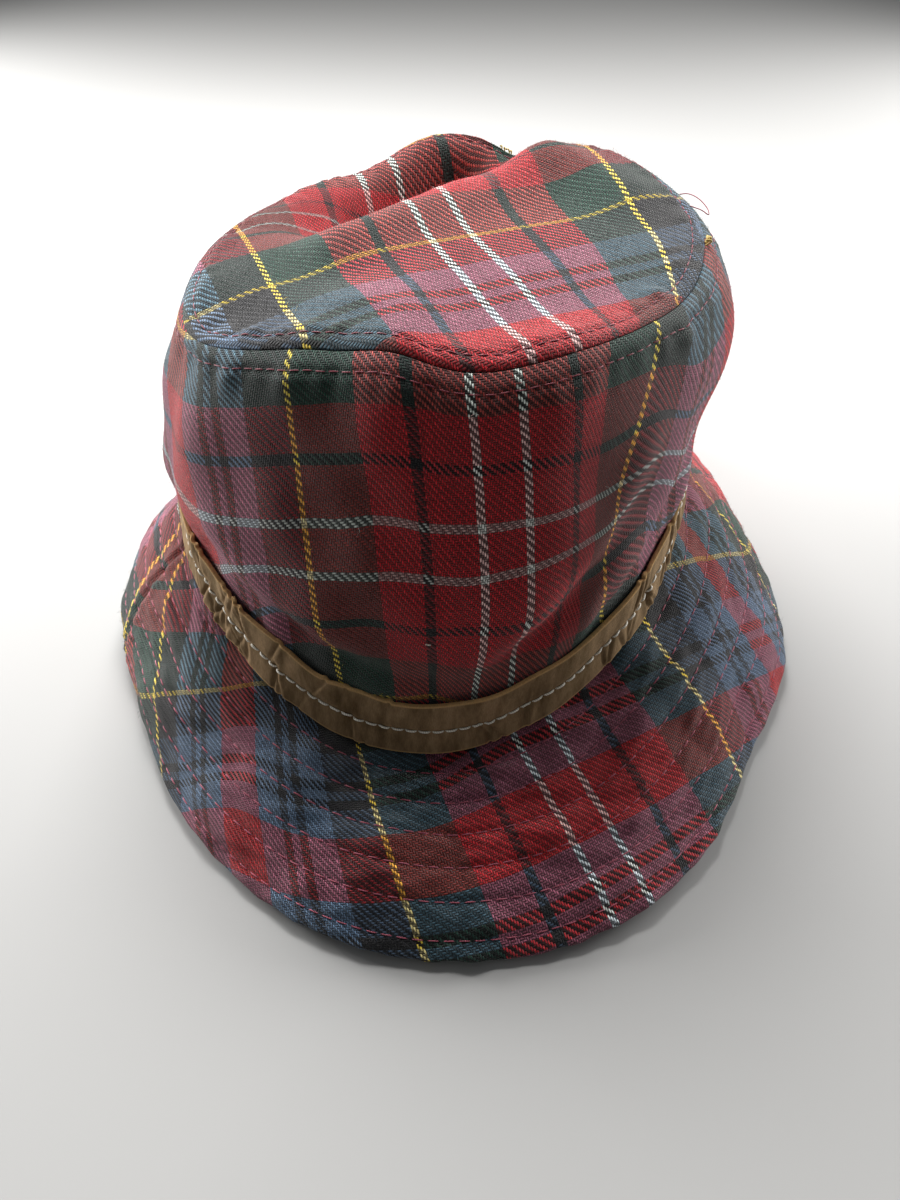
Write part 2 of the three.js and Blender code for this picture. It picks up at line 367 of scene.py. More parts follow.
# %% Wool twill: which thread is on top
# Two over, two under, one step further on each row: steps 0 and 1 show the warp, 2 and 3 the weft.
# A Mix node's inputs 2 and 3 are its two numbers, and 6 and 7 its two colours.
diagonal = add_node(
    tree, "Math", {0: named.outputs["X"], 1: named.outputs["Y"]}, operation="ADD")
step = add_node(tree, "Math", {0: diagonal, 1: 4.0}, operation="FLOORED_MODULO")
warp_on_top = add_node(tree, "Math", {0: step, 1: 1.5}, operation="LESS_THAN")
weft_step = add_node(tree, "Math", {0: step, 1: 2.0}, operation="SUBTRACT")
top_step = add_node(tree, "Mix", {0: warp_on_top, 2: weft_step, 3: step})
top_along = add_node(
    tree, "Mix", {0: warp_on_top, 2: within.outputs["X"], 3: within.outputs["Y"]})
top_across = add_node(
    tree, "Mix", {0: warp_on_top, 2: within.outputs["Y"], 3: within.outputs["X"]})
reach = add_node(tree, "Math", {0: top_step, 1: top_along}, operation="ADD")

# A float stands highest in its middle and dips at its sides and ends.
from_middle = add_node(tree, "Math", {0: top_across, 1: 2.0, 2: -1.0}, operation="MULTIPLY_ADD")
round_side = add_node(tree, "Math", {0: from_middle, 1: 2.0}, operation="POWER")
from_half = add_node(tree, "Math", {0: reach, 1: 1.0}, operation="SUBTRACT")
round_end = add_node(tree, "Math", {0: from_half, 1: 2.0}, operation="POWER")
side_left = add_node(tree, "Math", {0: 1.0, 1: round_side}, operation="SUBTRACT")
end_left = add_node(tree, "Math", {0: round_end, 1: -0.7, 2: 1.0}, operation="MULTIPLY_ADD")
bulge = add_node(tree, "Math", {0: side_left, 1: end_left}, operation="MULTIPLY")
print("a twill repeat, mm:", round(4 * THREAD, 2))

# %% Wool twill: light and dark threads, and painted shade
# No two threads took the dye alike, and the yarn is thick and thin. The floats also carry painted shade
# and highlight.
WEFT_PAINTED_SHADE = 0.52  # how bright a weft float is beside a warp float
top_name = add_node(
    tree, "Mix", {0: warp_on_top, 2: named.outputs["Y"], 3: named.outputs["X"]})
own_dye = add_node(tree, "TexWhiteNoise", {"W": top_name}, noise_dimensions="1D")
patchy = add_node(
    tree, "TexNoise", {"Vector": counted, "Scale": 0.6, "Detail": 4.0, "Roughness": 0.7},
    noise_dimensions="2D")
dye_level = add_node(
    tree, "MapRange", {"Value": own_dye, "To Min": 0.84, "To Max": 1.2})
patch_level = add_node(
    tree, "MapRange", {"Value": patchy, "From Min": 0.3, "From Max": 0.7,
                       "To Min": 0.66, "To Max": 1.34})
# Painted shade and highlight: each float is painted darker at its sides and ends, where shade falls
# between the threads, and lighter along its crown.
float_painted_shade = add_node(tree, "MapRange", {"Value": bulge, "To Min": 0.0, "To Max": 1.72})
level = add_node(tree, "Math", {0: dye_level, 1: patch_level}, operation="MULTIPLY")
level = add_node(tree, "Math", {0: level, 1: float_painted_shade}, operation="MULTIPLY")

# The weft is packed tight and lies a little lower than the warp, in the warp floats' shade, so its floats
# are painted darker: this painted shade draws the twill lines.
weft_painted_shade = add_node(tree, "Mix", {0: warp_on_top, 2: WEFT_PAINTED_SHADE, 3: 1.0})
level = add_node(tree, "Math", {0: level, 1: weft_painted_shade}, operation="MULTIPLY")
top_dye = add_node(
    tree, "Mix", {0: warp_on_top, 6: dyed["weft"], 7: dyed["warp"]}, data_type="RGBA")
print("nodes so far:", len(tree.nodes))

# %% Wool twill: the nap mixes the hues
# The nap strays over the threads beside it, so hues mix from thread to thread while light and dark
# stay apart: yellow turns orange among red, and red with azure turns mauve.
VEIL = 0.82  # share of a float that its neighbours' fibres veil
KEPT_CONTRAST = 0.88  # below 1 the light and dark dyes draw closer
BRIGHTEST = 0.93  # a fibre sends back no more light than this

warp_share = add_node(tree, "Mix", {0: warp_on_top, 2: 0.62, 3: 0.38})
both = add_node(
    tree, "Mix", {0: warp_share, 6: dyed["weft"], 7: dyed["warp"]}, data_type="RGBA")
own_light = add_node(tree, "RGBToBW", {0: top_dye.outputs[2]})
both_light = add_node(tree, "RGBToBW", {0: both.outputs[2]})
contrast = add_node(tree, "Math", {0: own_light, 1: both_light}, operation="DIVIDE")
contrast = add_node(tree, "Math", {0: contrast, 1: KEPT_CONTRAST}, operation="POWER")

# Red is the strongest of the three primaries here, so it limits how far a float is brightened.
both_red = add_node(tree, "SeparateXYZ", {0: both.outputs[2]})
limit = add_node(tree, "Math", {0: BRIGHTEST, 1: both_red}, operation="DIVIDE")
contrast = add_node(tree, "Math", {0: contrast, 1: limit}, operation="MINIMUM")
hazed = add_node(tree, "VectorMath", {0: both.outputs[2], "Scale": contrast}, operation="SCALE")
veiled = add_node(tree, "Mix", {0: VEIL, 6: top_dye.outputs[2], 7: hazed}, data_type="RGBA")
shaded = add_node(
    tree, "VectorMath", {0: veiled.outputs[2], "Scale": level}, operation="SCALE")
print("veiled by neighbours:", VEIL)

# %% Wool twill: the yarn
# Woollen yarn is rough and hairy, so it has almost no gloss: it scatters light, and its nap glows
# pale where it is seen edge on. The dips between threads hold shadow, which draws the ribs.
RIB_HEIGHT = 0.00035  # metres that a float bulges out of the cloth

hairs = add_node(
    tree, "TexNoise", {"Vector": counted, "Scale": 2.5, "Detail": 3.0, "Roughness": 0.8},
    noise_dimensions="2D")
relief = add_node(tree, "Math", {0: hairs, 1: 0.5, 2: bulge}, operation="MULTIPLY_ADD")
relief = add_node(tree, "Math", {0: warp_on_top, 1: 0.5, 2: relief}, operation="MULTIPLY_ADD")
ribs = add_node(tree, "Bump", {"Height": relief, "Strength": 1.0, "Distance": RIB_HEIGHT})
yarn = add_node(
    tree,
    "BsdfPrincipled",
    {
        "Base Color": shaded, "Roughness": 0.85, "IOR": 1.55, "Specular IOR Level": 0.25,
        "Sheen Weight": 0.33, "Sheen Roughness": 0.4, "Sheen Tint": linear("#e6e2de"),
        "Normal": ribs,
    },
)
add_node(tree, "OutputMaterial", {"Surface": yarn})
print("nodes in the wool:", len(tree.nodes))

# %% [markdown]
# ## Suede and sewing thread
# The band is split leather with its nap raised. Suede has no gloss at all: its tiny fibres catch the
# light one way and lose it the other, which leaves smudges where a hand has brushed it. A cut edge
# shows the paler inside of the hide. Sewing thread is three thin strands twisted together, smoother
# than wool, and the twist is painted in as fine slanting bars of shade.

# %% Split suede
# The strip's map holds millimetres along the band and the share of its width.
SMUDGES = (0.16, 0.9, 1)  # a brushed smudge is some 6 mm long and as tall as the band
NAP_TUFTS = (4.5, 12, 1)  # a tuft of nap is about a quarter of a millimetre long, 1.4 mm tall

suede, tree = new_material("split_suede")
strip = add_node(tree, "UVMap", uv_map="strip")
smudged = add_node(tree, "VectorMath", {0: strip, 1: SMUDGES}, operation="MULTIPLY")
brushed = add_node(
    tree, "TexNoise", {"Vector": smudged, "Scale": 1.0, "Detail": 5.0, "Roughness": 0.62},
    noise_dimensions="2D")
tufted = add_node(tree, "VectorMath", {0: strip, 1: NAP_TUFTS}, operation="MULTIPLY")
nap = add_node(
    tree, "TexNoise", {"Vector": tufted, "Scale": 1.0, "Detail": 4.0, "Roughness": 0.75},
    noise_dimensions="2D")
tones = add_node(tree, "ValToRGB", {"Fac": brushed})
tones.color_ramp.elements[0].position = 0.32
tones.color_ramp.elements[0].color = linear("#5d4930")
tones.color_ramp.elements[1].position = 0.68
tones.color_ramp.elements[1].color = linear("#94795a")
width_share = add_node(tree, "SeparateXYZ", {0: strip})
from_centre = add_node(
    tree, "Math", {0: width_share.outputs["Y"], 1: 2.0, 2: -1.0}, operation="MULTIPLY_ADD")
to_edge = add_node(tree, "Math", {0: from_centre}, operation="ABSOLUTE")
cut = add_node(tree, "MapRange", {"Value": to_edge, "From Min": 0.95, "From Max": 1.02})
hide = add_node(
    tree, "Mix", {0: cut, 6: tones, 7: linear("#c09a68")}, data_type="RGBA")
nap_level = add_node(
    tree, "MapRange", {"Value": nap, "From Min": 0.3, "From Max": 0.7,
                       "To Min": 0.72, "To Max": 1.2})
napped = add_node(tree, "VectorMath", {0: hide.outputs[2], "Scale": nap_level}, operation="SCALE")
pile = add_node(tree, "Bump", {"Height": nap, "Strength": 0.5, "Distance": 0.0003})
leather = add_node(
    tree,
    "BsdfPrincipled",
    {
        "Base Color": napped, "Roughness": 0.95, "IOR": 1.5, "Specular IOR Level": 0.15,
        "Sheen Weight": 0.25, "Sheen Roughness": 0.5, "Sheen Tint": linear("#d2b88e"),
        "Normal": pile,
    },
)
add_node(tree, "OutputMaterial", {"Surface": leather})
print("nodes in the suede:", len(tree.nodes))

# %% Three-ply sewing thread
# Spun polyester thread: a soft low gloss, with painted shade in dark slanting bars where the strands twist
# together.
THREAD_COLOURS = {"red": "#b8566a", "cream": "#f4eedf", "crimson": "#8c2438", "yellow": "#c4a548"}
TWIST = 1.6  # slanting bars of painted shade for each millimetre of thread

threads_of = {}
for name, colour in THREAD_COLOURS.items():
    material, tree = new_material(f"spun_thread_{name}")
    lay = add_node(tree, "SeparateXYZ", {0: add_node(tree, "UVMap", uv_map="ply")})
    twist = add_node(
        tree, "Math", {0: lay.outputs["X"], 1: TWIST, 2: lay.outputs["Y"]}, operation="MULTIPLY_ADD")
    strand = add_node(tree, "Math", {0: twist, 1: 0.5}, operation="PINGPONG")
    # Painted shade and highlight: the grooves where the strands twist together are painted darker, and the
    # strands' crowns a little lighter.
    twist_painted_shade = add_node(tree, "MapRange", {"Value": strand, "From Max": 0.5, "To Min": 0.6, "To Max": 1.1})
    ply = add_node(
        tree, "VectorMath", {0: linear(colour)[:3], "Scale": twist_painted_shade}, operation="SCALE")
    spun = add_node(
        tree,
        "BsdfPrincipled",
        {"Base Color": ply, "Roughness": 0.6, "IOR": 1.55, "Sheen Weight": 0.15},
    )
    add_node(tree, "OutputMaterial", {"Surface": spun})
    threads_of[name] = material
print("materials:", [m.name for m in bpy.data.materials if m.users])

# %% [markdown]
# ## From a grid of points to a sewn panel
# Each panel is a grid: columns run round the hat and rows run up or across the cloth. The grid is
# the outer face. The inner face is the same grid moved inwards by the cloth's thickness, and a few
# extra rows turn each raw edge round, because cut cloth is folded under and never ends in a corner.
# The grid's last column lies on its first, so the mesh is closed, but the thread count starts anew
# there: that is the seam that closes the side, at the back, and the brim's own, at the wearer's left.

# %% Which way a panel faces, and how its edge turns
STEPS_ROUND = 600  # columns round the hat: about a millimetre of crown cloth each
COARSE = 5  # the inner face takes every fifth row

azimuths = np.linspace(90, 450, STEPS_ROUND + 1)  # from the back seam, round the hat and back


def face_normals(points):
    """Unit normals of a grid whose last column lies on its first."""
    columns = points[:-1]
    across = np.roll(columns, -1, 0) - np.roll(columns, 1, 0)
    normal = unit(np.cross(across, np.gradient(columns, axis=1)))
    return np.concatenate([normal, normal[:1]])


def turned_edge(points, normal, uv, end, before, thickness, radius):
    """Rows that carry a panel's face round its edge to the inner face, over two round corners."""
    over = points[:, end] - points[:, before]
    rate = (uv[:, end] - uv[:, before]) / np.linalg.norm(over, axis=-1, keepdims=True)
    over = unit(over)
    rows, maps = [], []
    for degrees, depth in ((30, radius), (60, radius), (90, radius), (90, thickness - radius),
                           (120, thickness - radius), (150, thickness - radius)):
        angle = math.radians(degrees)
        out, along = depth - radius * math.cos(angle), radius * math.sin(angle)
        rows.append(points[:, end] - out * normal[:, end] + along * over)
        maps.append(uv[:, end] + rate * (along + out))
    return np.stack(rows, 1), np.stack(maps, 1)


print("columns round the hat:", STEPS_ROUND)

# %% Panels as closed meshes
def add_piece(name, points, faces, uv_name, corner_uv, material, node=None):
    """Makes a smooth piece, in the frame's metres, riding on the hat's one body."""
    mesh = bpy.data.meshes.new(name)
    mesh.from_pydata(((points.reshape(-1, 3) + TO_FRAME) / 1000).tolist(), [], faces)
    mesh.uv_layers.new(name=uv_name).data.foreach_set("uv", corner_uv.ravel())
    mesh.materials.append(material)
    mesh.shade_smooth()
    piece = bpy.data.objects.new(name, mesh)
    bpy.context.scene.collection.objects.link(piece)
    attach(piece, "root")
    if node:
        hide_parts(node)
    return piece


def grid_quads(points):
    """Quads between the columns of a grid whose last row is joined to its first."""
    corner = np.arange(points.shape[0] * points.shape[1]).reshape(points.shape[:2])
    nxt = np.roll(corner, -1, 1)
    return np.stack([corner[:-1], corner[1:], nxt[1:], nxt[:-1]], -1).reshape(-1, 4)


def weld(piece):
    """Joins the points that lie on each other."""
    work = bmesh.new()
    work.from_mesh(piece.data)
    bmesh.ops.remove_doubles(work, verts=work.verts, dist=1e-6)
    work.to_mesh(piece.data)
    work.free()
    piece.data.update()


def sew_panel(name, outer, uv, thickness, corner, node, lowest=None, centred=False):
    """A panel of even thickness from its outer face. A centred one has no edge in its middle."""
    normal = face_normals(outer)
    if centred:
        normal[:, -1] = (0, 0, 1)
    inner = (outer - thickness * normal)[:, ::-COARSE]
    first, first_uv = turned_edge(outer, normal, uv, 0, 1, thickness, corner)
    parts, maps = [outer], [uv]
    if not centred:
        last, last_uv = turned_edge(outer, normal, uv, -1, -2, thickness, corner)
        parts.append(last)
        maps.append(last_uv)
    parts += [inner, first[:, ::-1]]
    maps += [uv[:, ::-COARSE], first_uv[:, ::-1]]
    points, uv = np.concatenate(parts, 1), np.concatenate(maps, 1)
    if lowest is not None:
        points[..., 2] = np.maximum(points[..., 2], lowest)
    quads = grid_quads(points)
    corner_uv = uv.reshape(-1, 2)[quads.ravel()]
    weld(add_piece(
        name, points, quads.tolist(), "threads", corner_uv, wool, node=node))


print("the inner face takes one row in", COARSE)

# %% [markdown]
# ## Stitches
# A stitch is a short arc of thread that rises out of one hole and dives into the next. Painted
# dashes would lie flat, so each stitch is a thin closed tube. A row of them follows a line on the
# cloth, and the cloth's normal says which way is out.

# %% Stitches as tubes
def tubes(name, paths, normals, radii, material, sides=6):
    """Closed round tubes, all with as many points, joined in one piece."""
    count, steps = paths.shape[:2]
    along = unit(np.gradient(paths, axis=1))
    beside = unit(np.cross(along, normals))
    above = np.cross(beside, along)
    angle = np.linspace(0, 2 * np.pi, sides, endpoint=False)[:, None]
    circle = beside[:, :, None] * np.cos(angle) + above[:, :, None] * np.sin(angle)
    points = paths[:, :, None] + circle * radii[None, :, None, None]
    corner = np.arange(count * steps * sides).reshape(count, steps, sides)
    nxt = np.roll(corner, -1, 2)
    quads = np.stack([corner[:, :-1], nxt[:, :-1], nxt[:, 1:], corner[:, 1:]], -1).reshape(-1, 4)
    caps = np.concatenate([corner[:, 0, ::-1], corner[:, -1]]).tolist()

    # U is the distance along the thread and V the turn round it. The caps are hidden in the cloth.
    distance = np.linalg.norm(np.diff(paths, axis=1), axis=-1).cumsum(1)
    distance = np.concatenate([np.zeros((count, 1)), distance], 1)[:, :, None]
    start, end = distance[:, :-1], distance[:, 1:]
    turn = np.arange(sides) / sides
    places = ((start, turn), (start, turn + 1 / sides), (end, turn + 1 / sides), (end, turn))
    uv = np.stack([np.stack(np.broadcast_arrays(*place), -1) for place in places], 3)
    corner_uv = np.concatenate([uv.reshape(-1, 2), np.zeros((len(caps) * sides, 2))])
    add_piece(name, points, quads.tolist() + caps, "ply", corner_uv, material)


def stitch_rows(name, rows, colour, length, gap, radius):
    """Rows of short arcs of thread, each rising out of the cloth and diving in again."""
    arcs, ups = [], []
    t = np.linspace(0, 1, 6)
    for path, normal in rows:
        run = np.concatenate([[0], np.linalg.norm(np.diff(path, axis=0), axis=-1).cumsum()])
        count = int(run[-1] / (length + gap))
        starts = np.arange(count) * run[-1] / count
        at = starts[:, None] + t * length
        centre = np.stack([np.interp(at, run, path[:, k]) for k in range(3)], -1)
        above = np.stack([np.interp(at, run, normal[:, k]) for k in range(3)], -1)
        rise = radius * (1.9 * np.sin(np.pi * t) ** 0.4 - 0.9)
        arcs.append(centre + above * rise[:, None])
        ups.append(above)
    profile = radius * np.array([0.6, 1, 1, 1, 1, 0.6])
    tubes(name, np.concatenate(arcs), np.concatenate(ups), profile, threads_of[colour])
    print(name, "stitches:", sum(len(arc) for arc in arcs))


def seam_path(surface, share, sign=1):
    """A line round the hat on a surface, and the cloth's normal along it."""
    nudge = 0.006
    share = np.broadcast_to(share, azimuths.shape)[:, None]
    points = surface(azimuths, share + nudge * np.array([-1, 0, 1]))
    return points[:, 1], sign * face_normals(points)[:, 1]


print("thread colours:", ", ".join(threads_of))

# %% [markdown]
# ## Loose fibres
# Wool sheds a haze of fine fibres, and it shows best along the outline. Blender's hair could grow
# it, but the export needs meshes, so each fibre is a closed spike with a bend in it. It carries the
# thread count of its root, and so takes that thread's dye.

# %% Fibres as spikes
FIBRE = dict(shortest=0.4, longest=2.6, root=0.05, middle=0.04, weft_painted_shade=0.15)  # sizes in millimetres


def add_fuzz(name, outer, uv, count, seed):
    """Loose wool fibres: thin closed spikes that take the dye of the thread they grow from."""
    random = np.random.default_rng(seed)
    normal = face_normals(outer)
    around, along = outer[1:, :-1] - outer[:-1, :-1], outer[:-1, 1:] - outer[:-1, :-1]
    area = np.linalg.norm(np.cross(around, along), axis=-1).ravel()
    cell = random.choice(area.size, count, p=area / area.sum())
    c, r = np.unravel_index(cell, (outer.shape[0] - 1, outer.shape[1] - 1))
    s, t = random.random((2, count, 1))
    root = outer[c, r] + s * around[c, r] + t * along[c, r]
    up = normal[c, r]
    sideways = random.normal(size=(count, 3))
    sideways = unit(sideways - (sideways * up).sum(-1, keepdims=True) * up)
    curl = np.cross(up, sideways) * random.normal(0, 0.35, (count, 1))
    length = random.lognormal(-0.2, 0.5, (count, 1))
    length = np.clip(length, FIBRE["shortest"], FIBRE["longest"])
    stand = random.uniform(0.2, 1.0, (count, 1))
    middle = root + length * (0.5 * stand * up + 0.5 * sideways)
    tip = root + length * (stand * 0.8 * up + 0.9 * sideways + curl)
    start = root - FIBRE["weft_painted_shade"] * up
    angle = np.radians([0, 120, 240])[:, None]
    spoke = unit(curl + up * 0.3 + np.cross(up, sideways))
    other = np.cross(sideways, spoke)
    circle = spoke[:, None] * np.cos(angle) + other[:, None] * np.sin(angle)
    points = np.concatenate([
        start[:, None] + FIBRE["root"] * circle, middle[:, None] + FIBRE["middle"] * circle,
        tip[:, None]], 1)
    base = points.shape[1] * np.arange(count)[:, None, None]
    shape = np.array([
        (0, 1, 4), (0, 4, 3), (1, 2, 5), (1, 5, 4), (2, 0, 3), (2, 3, 5),
        (3, 4, 6), (4, 5, 6), (5, 3, 6), (0, 2, 1)])
    faces = (base + shape).reshape(-1, 3).tolist()
    grown = np.floor(uv[c, r]) + 0.5
    corner_uv = np.repeat(grown, 3 * len(shape), 0)
    add_piece(name, points, faces, "threads", corner_uv, wool)
    print(name, "fibres:", count)


print("longest fibre, mm:", FIBRE["longest"])

# %% [markdown]
# ## The crown side
# The side is one long strip of cloth, sewn to the brim below and the tip above. It has no stiffener,
# so it bulges over the band, tucks in behind it and leans. The strip was cut straight and sewn
# to an oval, so close to each seam it gathers into small puckers that die out within a finger's width.
# Cloth simulation would find some drape of its own. The folds here are this hat's, so they are placed
# from tables, and only the fine unevenness is left to seeded waves.

# %% Folds and creases of the crown side
SECTIONS = table(
    "up swell", (0, 0), (0.18, 0.5), (0.35, 3), (0.55, 5), (0.75, 5), (0.9, 2.5), (1, 0))
SIDE_FOLDS = table(
    "azimuth spread up tall out",
    (8, 22, 0.76, 0.09, 5), (168, 16, 0.5, 0.12, -3), (180, 30, 0.95, 0.12, -4),
    (270, 32, 0.42, 0.16, 6), (345, 14, 0.45, 0.12, -2),
)
# Creases finer than the CAD wall's: how they slant, and their length, width and depth in millimetres.
SIDE_CREASES = table(
    "azimuth up slant length width out",
    (197, 0.34, 0, 22, 9.0, 2.4),
    (248, 0.27, -6, 22, 3.5, -2.6), (243, 0.36, -6, 20, 5.0, 1.6),
    (222, 0.34, 35, 14, 3.5, -1.2), (300, 0.42, 42, 22, 5.0, -3.6),
    (310, 0.62, 38, 20, 7.0, 2.2), (287, 0.30, 25, 12, 4.0, -1.4),
    (322, 0.33, 30, 16, 4.5, -2.0), (262, 0.60, -70, 16, 6.0, -0.9),
    (208, 0.62, 80, 22, 5.0, -1.2), (345, 0.62, 60, 20, 5.0, 1.5),
    (30, 0.45, 30, 24, 6.0, -2.0), (70, 0.5, -35, 22, 6.0, -1.8),
    (110, 0.38, 25, 20, 5.0, -1.8), (140, 0.6, -30, 22, 6.0, 1.6),
)
SIDE_PER_DEGREE = 1.55  # millimetres of crown side for each degree of azimuth
GATHERS = dict(height=26, spread=9, depth=0.4)  # where the cloth gathers above the band
print("creases on the side:", len(SIDE_CREASES["azimuth"]))

# %% The rounded corner and the seam in it
RIM = 9.0  # radius of the rounded corner where the side meets the tip
RIM_BEND = RIM * np.pi / 4  # cloth that each panel has in the corner: half of its quarter circle
RIM_FADE = 8.0  # width over which the rest of a panel follows the corner
PUFF = dict(up=2.0, out=1.0, fade=22)  # how far the corner is puffed up and out, and over what width
STITCH_IN = 4.6  # millimetres from the tip seam to the topstitch on either side of it
SEWN = dict(held=5, puckers=0.5, groove=1.1, at_seam=0.3, at_stitch=0.4)  # reaches and depths


def ripple(azimuth, height, seed, finest, count=18):
    """Soft unevenness with no repeats in sight: many small waves, whole round the hat."""
    random = np.random.default_rng(seed)
    turns = random.integers(3, finest, count)
    climb = random.uniform(-1, 1, count) * turns / 90
    phase = random.uniform(0, 2 * np.pi, count)
    size = 1 / np.sqrt(turns)
    total = sum(
        s * np.sin(n * np.radians(azimuth) + k * height + p)
        for n, k, p, s in zip(turns, climb, phase, size))
    return total / np.sqrt((size**2).sum() / 2)


def near_seam(azimuth, away):
    """How free the cloth is some millimetres away from the tip seam, and the seam's own relief."""
    free = 1 - bell(away / SEWN["held"])
    puckers = ripple(azimuth, 0 * away, 12, 80) * bell((away - SEWN["held"]) / SEWN["held"])
    grooves = SEWN["at_seam"] * bell(away / SEWN["groove"])
    grooves += SEWN["at_stitch"] * bell((away - STITCH_IN) / SEWN["groove"])
    return free, SEWN["puckers"] * free * puckers - grooves


def move_out(points, azimuth, out):
    """Moves a grid's points level and outwards, each along its own azimuth."""
    turn = np.radians(azimuth)[:, None]
    points[..., 0] += out * np.cos(turn)
    points[..., 1] += out * np.sin(turn)


print("cloth in each half of the corner, mm:", round(RIM_BEND, 1))

# %% The crown side's shape
def side_shape(azimuth, up, extra=0.0):
    """Outer face of the crown side, from the brim seam (up 0) to the tip seam (up 1)."""
    foot, top = brim_seam(azimuth), tip_seam(azimuth)
    level = np.clip(up, 0, 1)
    fade = np.clip(level * 6, 0, 1) * np.clip((1 - level) * 12, 0, 1)
    away = degrees_between(azimuth[:, None, None], SIDE_FOLDS["azimuth"])
    near = (level[..., None] - SIDE_FOLDS["up"]) / SIDE_FOLDS["tall"]
    folds = SIDE_FOLDS["out"] * np.exp(-0.5 * (away / SIDE_FOLDS["spread"]) ** 2 - 0.5 * near**2)
    swell = through(SECTIONS["up"], SECTIONS["swell"], level) + folds.sum(-1) * fade + extra
    points = foot[:, None] + (top - foot)[:, None] * up[..., None]
    move_out(points, azimuth, swell)
    points[..., 2] += GAP * (1 - up)
    return points


def side_cloth(azimuth, up):
    """The crown side with its creases, puckers and rounded rim."""
    up = np.broadcast_to(up, (len(azimuth), np.shape(up)[-1]))
    tall = side_tall(azimuth)[:, None]
    above, below = up * tall, (1 - up) * tall
    around = degrees_between(azimuth[:, None, None], SIDE_CREASES["azimuth"]) * SIDE_PER_DEGREE
    rise = (up[..., None] - SIDE_CREASES["up"]) * tall[..., None]
    slant = np.radians(SIDE_CREASES["slant"])
    lengthwise = (around * np.cos(slant) + rise * np.sin(slant)) / SIDE_CREASES["length"]
    crosswise = (rise * np.cos(slant) - around * np.sin(slant)) / SIDE_CREASES["width"]
    creases = SIDE_CREASES["out"] * np.exp(-0.5 * lengthwise**2 - 0.5 * crosswise**2)
    grid = azimuth[:, None]
    gathers = GATHERS["depth"] * bell((above - GATHERS["height"]) / GATHERS["spread"])
    gathers = gathers * ripple(grid, 0 * above, 11, 52)
    free, sewn = near_seam(grid, below)
    extra = free * (creases.sum(-1) + 0.6 * ripple(grid, above, 13, 22) + gathers) + sewn
    points = side_shape(azimuth, up, extra)

    # The cloth turns over the rim: half of the corner's quarter circle is side, and half is tip.
    angle = np.pi / 4 * np.clip(1 - below / RIM_BEND, 0, 1)
    puff = bell(below / PUFF["fade"])
    move_out(points, azimuth, PUFF["out"] * puff - RIM * (1 - np.cos(angle)))
    lift = RIM * (np.sin(angle) - 1) + GAP + CLOTH + np.minimum(below, RIM_BEND)
    lift *= bell(np.maximum(below - RIM_BEND, 0) / RIM_FADE)
    points[..., 2] += lift + PUFF["up"] * puff
    return points


print("crown side height at the front, mm:", side_tall(np.array([270.0])).round(1)[0])

# %% How the tartan lies on the crown side
# Where each thread runs was read off the hat at a few azimuths and heights. "across" counts the warp
# threads round the hat and "down" the weft threads up it.
SIDE_ACROSS = table(
    "azimuth foot middle top",
    (90, -520, -520, -520), (200, -228, -219, -195), (215, -190, -178, -155),
    (230, -150, -139, -116), (245, -118, -100, -81), (260, -78, -65, -47),
    (275, -27, -24, -14), (290, 19, 18, 23), (297, 42, 43, 40), (305, 72, 97, 62),
    (320, 115, 127, 97),
    (335, 150, 160, 135), (350, 190, 195, 175), (450, 470, 470, 470),
)
SIDE_DOWN = table(
    "azimuth foot quarter half high top",
    (90, -98, -52, -7, 38, 84), (180, -55, -20, 20, 60, 100), (205, -38, -12, 18, 58, 99),
    (220, -30, -9, 14, 50, 90),
    (245, -115, -60, -9, 33, 85), (270, -128, -80, -24, 24, 81), (285, -120, -65, -24, 24, 79),
    (300, -105, -62, -27, 30, 80), (315, -98, -62, -30, 30, 84), (330, -80, -40, 2, 50, 84),
    (360, -61, -25, 12, 48, 84), (450, -98, -52, -7, 38, 84),
)
ACROSS_AT = dict(foot=0, middle=0.55, top=1)
DOWN_AT = dict(foot=0, quarter=0.25, half=0.5, high=0.75, top=1)


def count_threads(rows, levels, share, around=azimuths):
    """Thread numbers over a panel's grid, read smoothly from a table with a column per level."""
    by_level = np.stack([through(rows["azimuth"], rows[name], around) for name in levels])
    return through(list(levels.values()), by_level, share).T


print("spots read on the side:", len(SIDE_ACROSS["azimuth"]), "across,", len(SIDE_DOWN["azimuth"]), "down")

# %% Build the crown side
SIDE_ROWS = 92
SEAM_SHARE = 0.9945  # the two panels end this close to the seam, and their edges fill the rest
SEAM_ROUND = 0.35  # radius of a panel's edge where it is sewn

side_share = np.concatenate([
    np.linspace(0, 0.88, SIDE_ROWS - 32)[:-1], np.linspace(0.88, SEAM_SHARE, 33)])
side_grid = side_cloth(azimuths, side_share[None])
side_uv = np.stack([
    count_threads(SIDE_ACROSS, ACROSS_AT, side_share),
    count_threads(SIDE_DOWN, DOWN_AT, side_share)], -1)
sew_panel("crown_side_cloth", side_grid, side_uv, CLOTH, SEAM_ROUND, "crown_side")

SEAM_STITCH = dict(colour="crimson", length=3.0, gap=0.7, radius=0.16)
side_height = side_tall(azimuths)
stitch_rows(
    "crown_side_topstitch", [seam_path(side_cloth, 1 - STITCH_IN / side_height)], **SEAM_STITCH)
add_fuzz("crown_side_fuzz", side_grid, side_uv, 12000, seed=21)
print("crown side height, mm:", side_height.min().round(), "to", side_height.max().round())

# %% [markdown]
# ## The tip
# The tip is an oval of cloth. With no head under it, it sinks: a sharp valley runs from the left
# front to the back, and the cloth before it stands up as a ridge. The grid is a fan of rings round
# the middle, because the seam, its groove and its stitches are rings too.

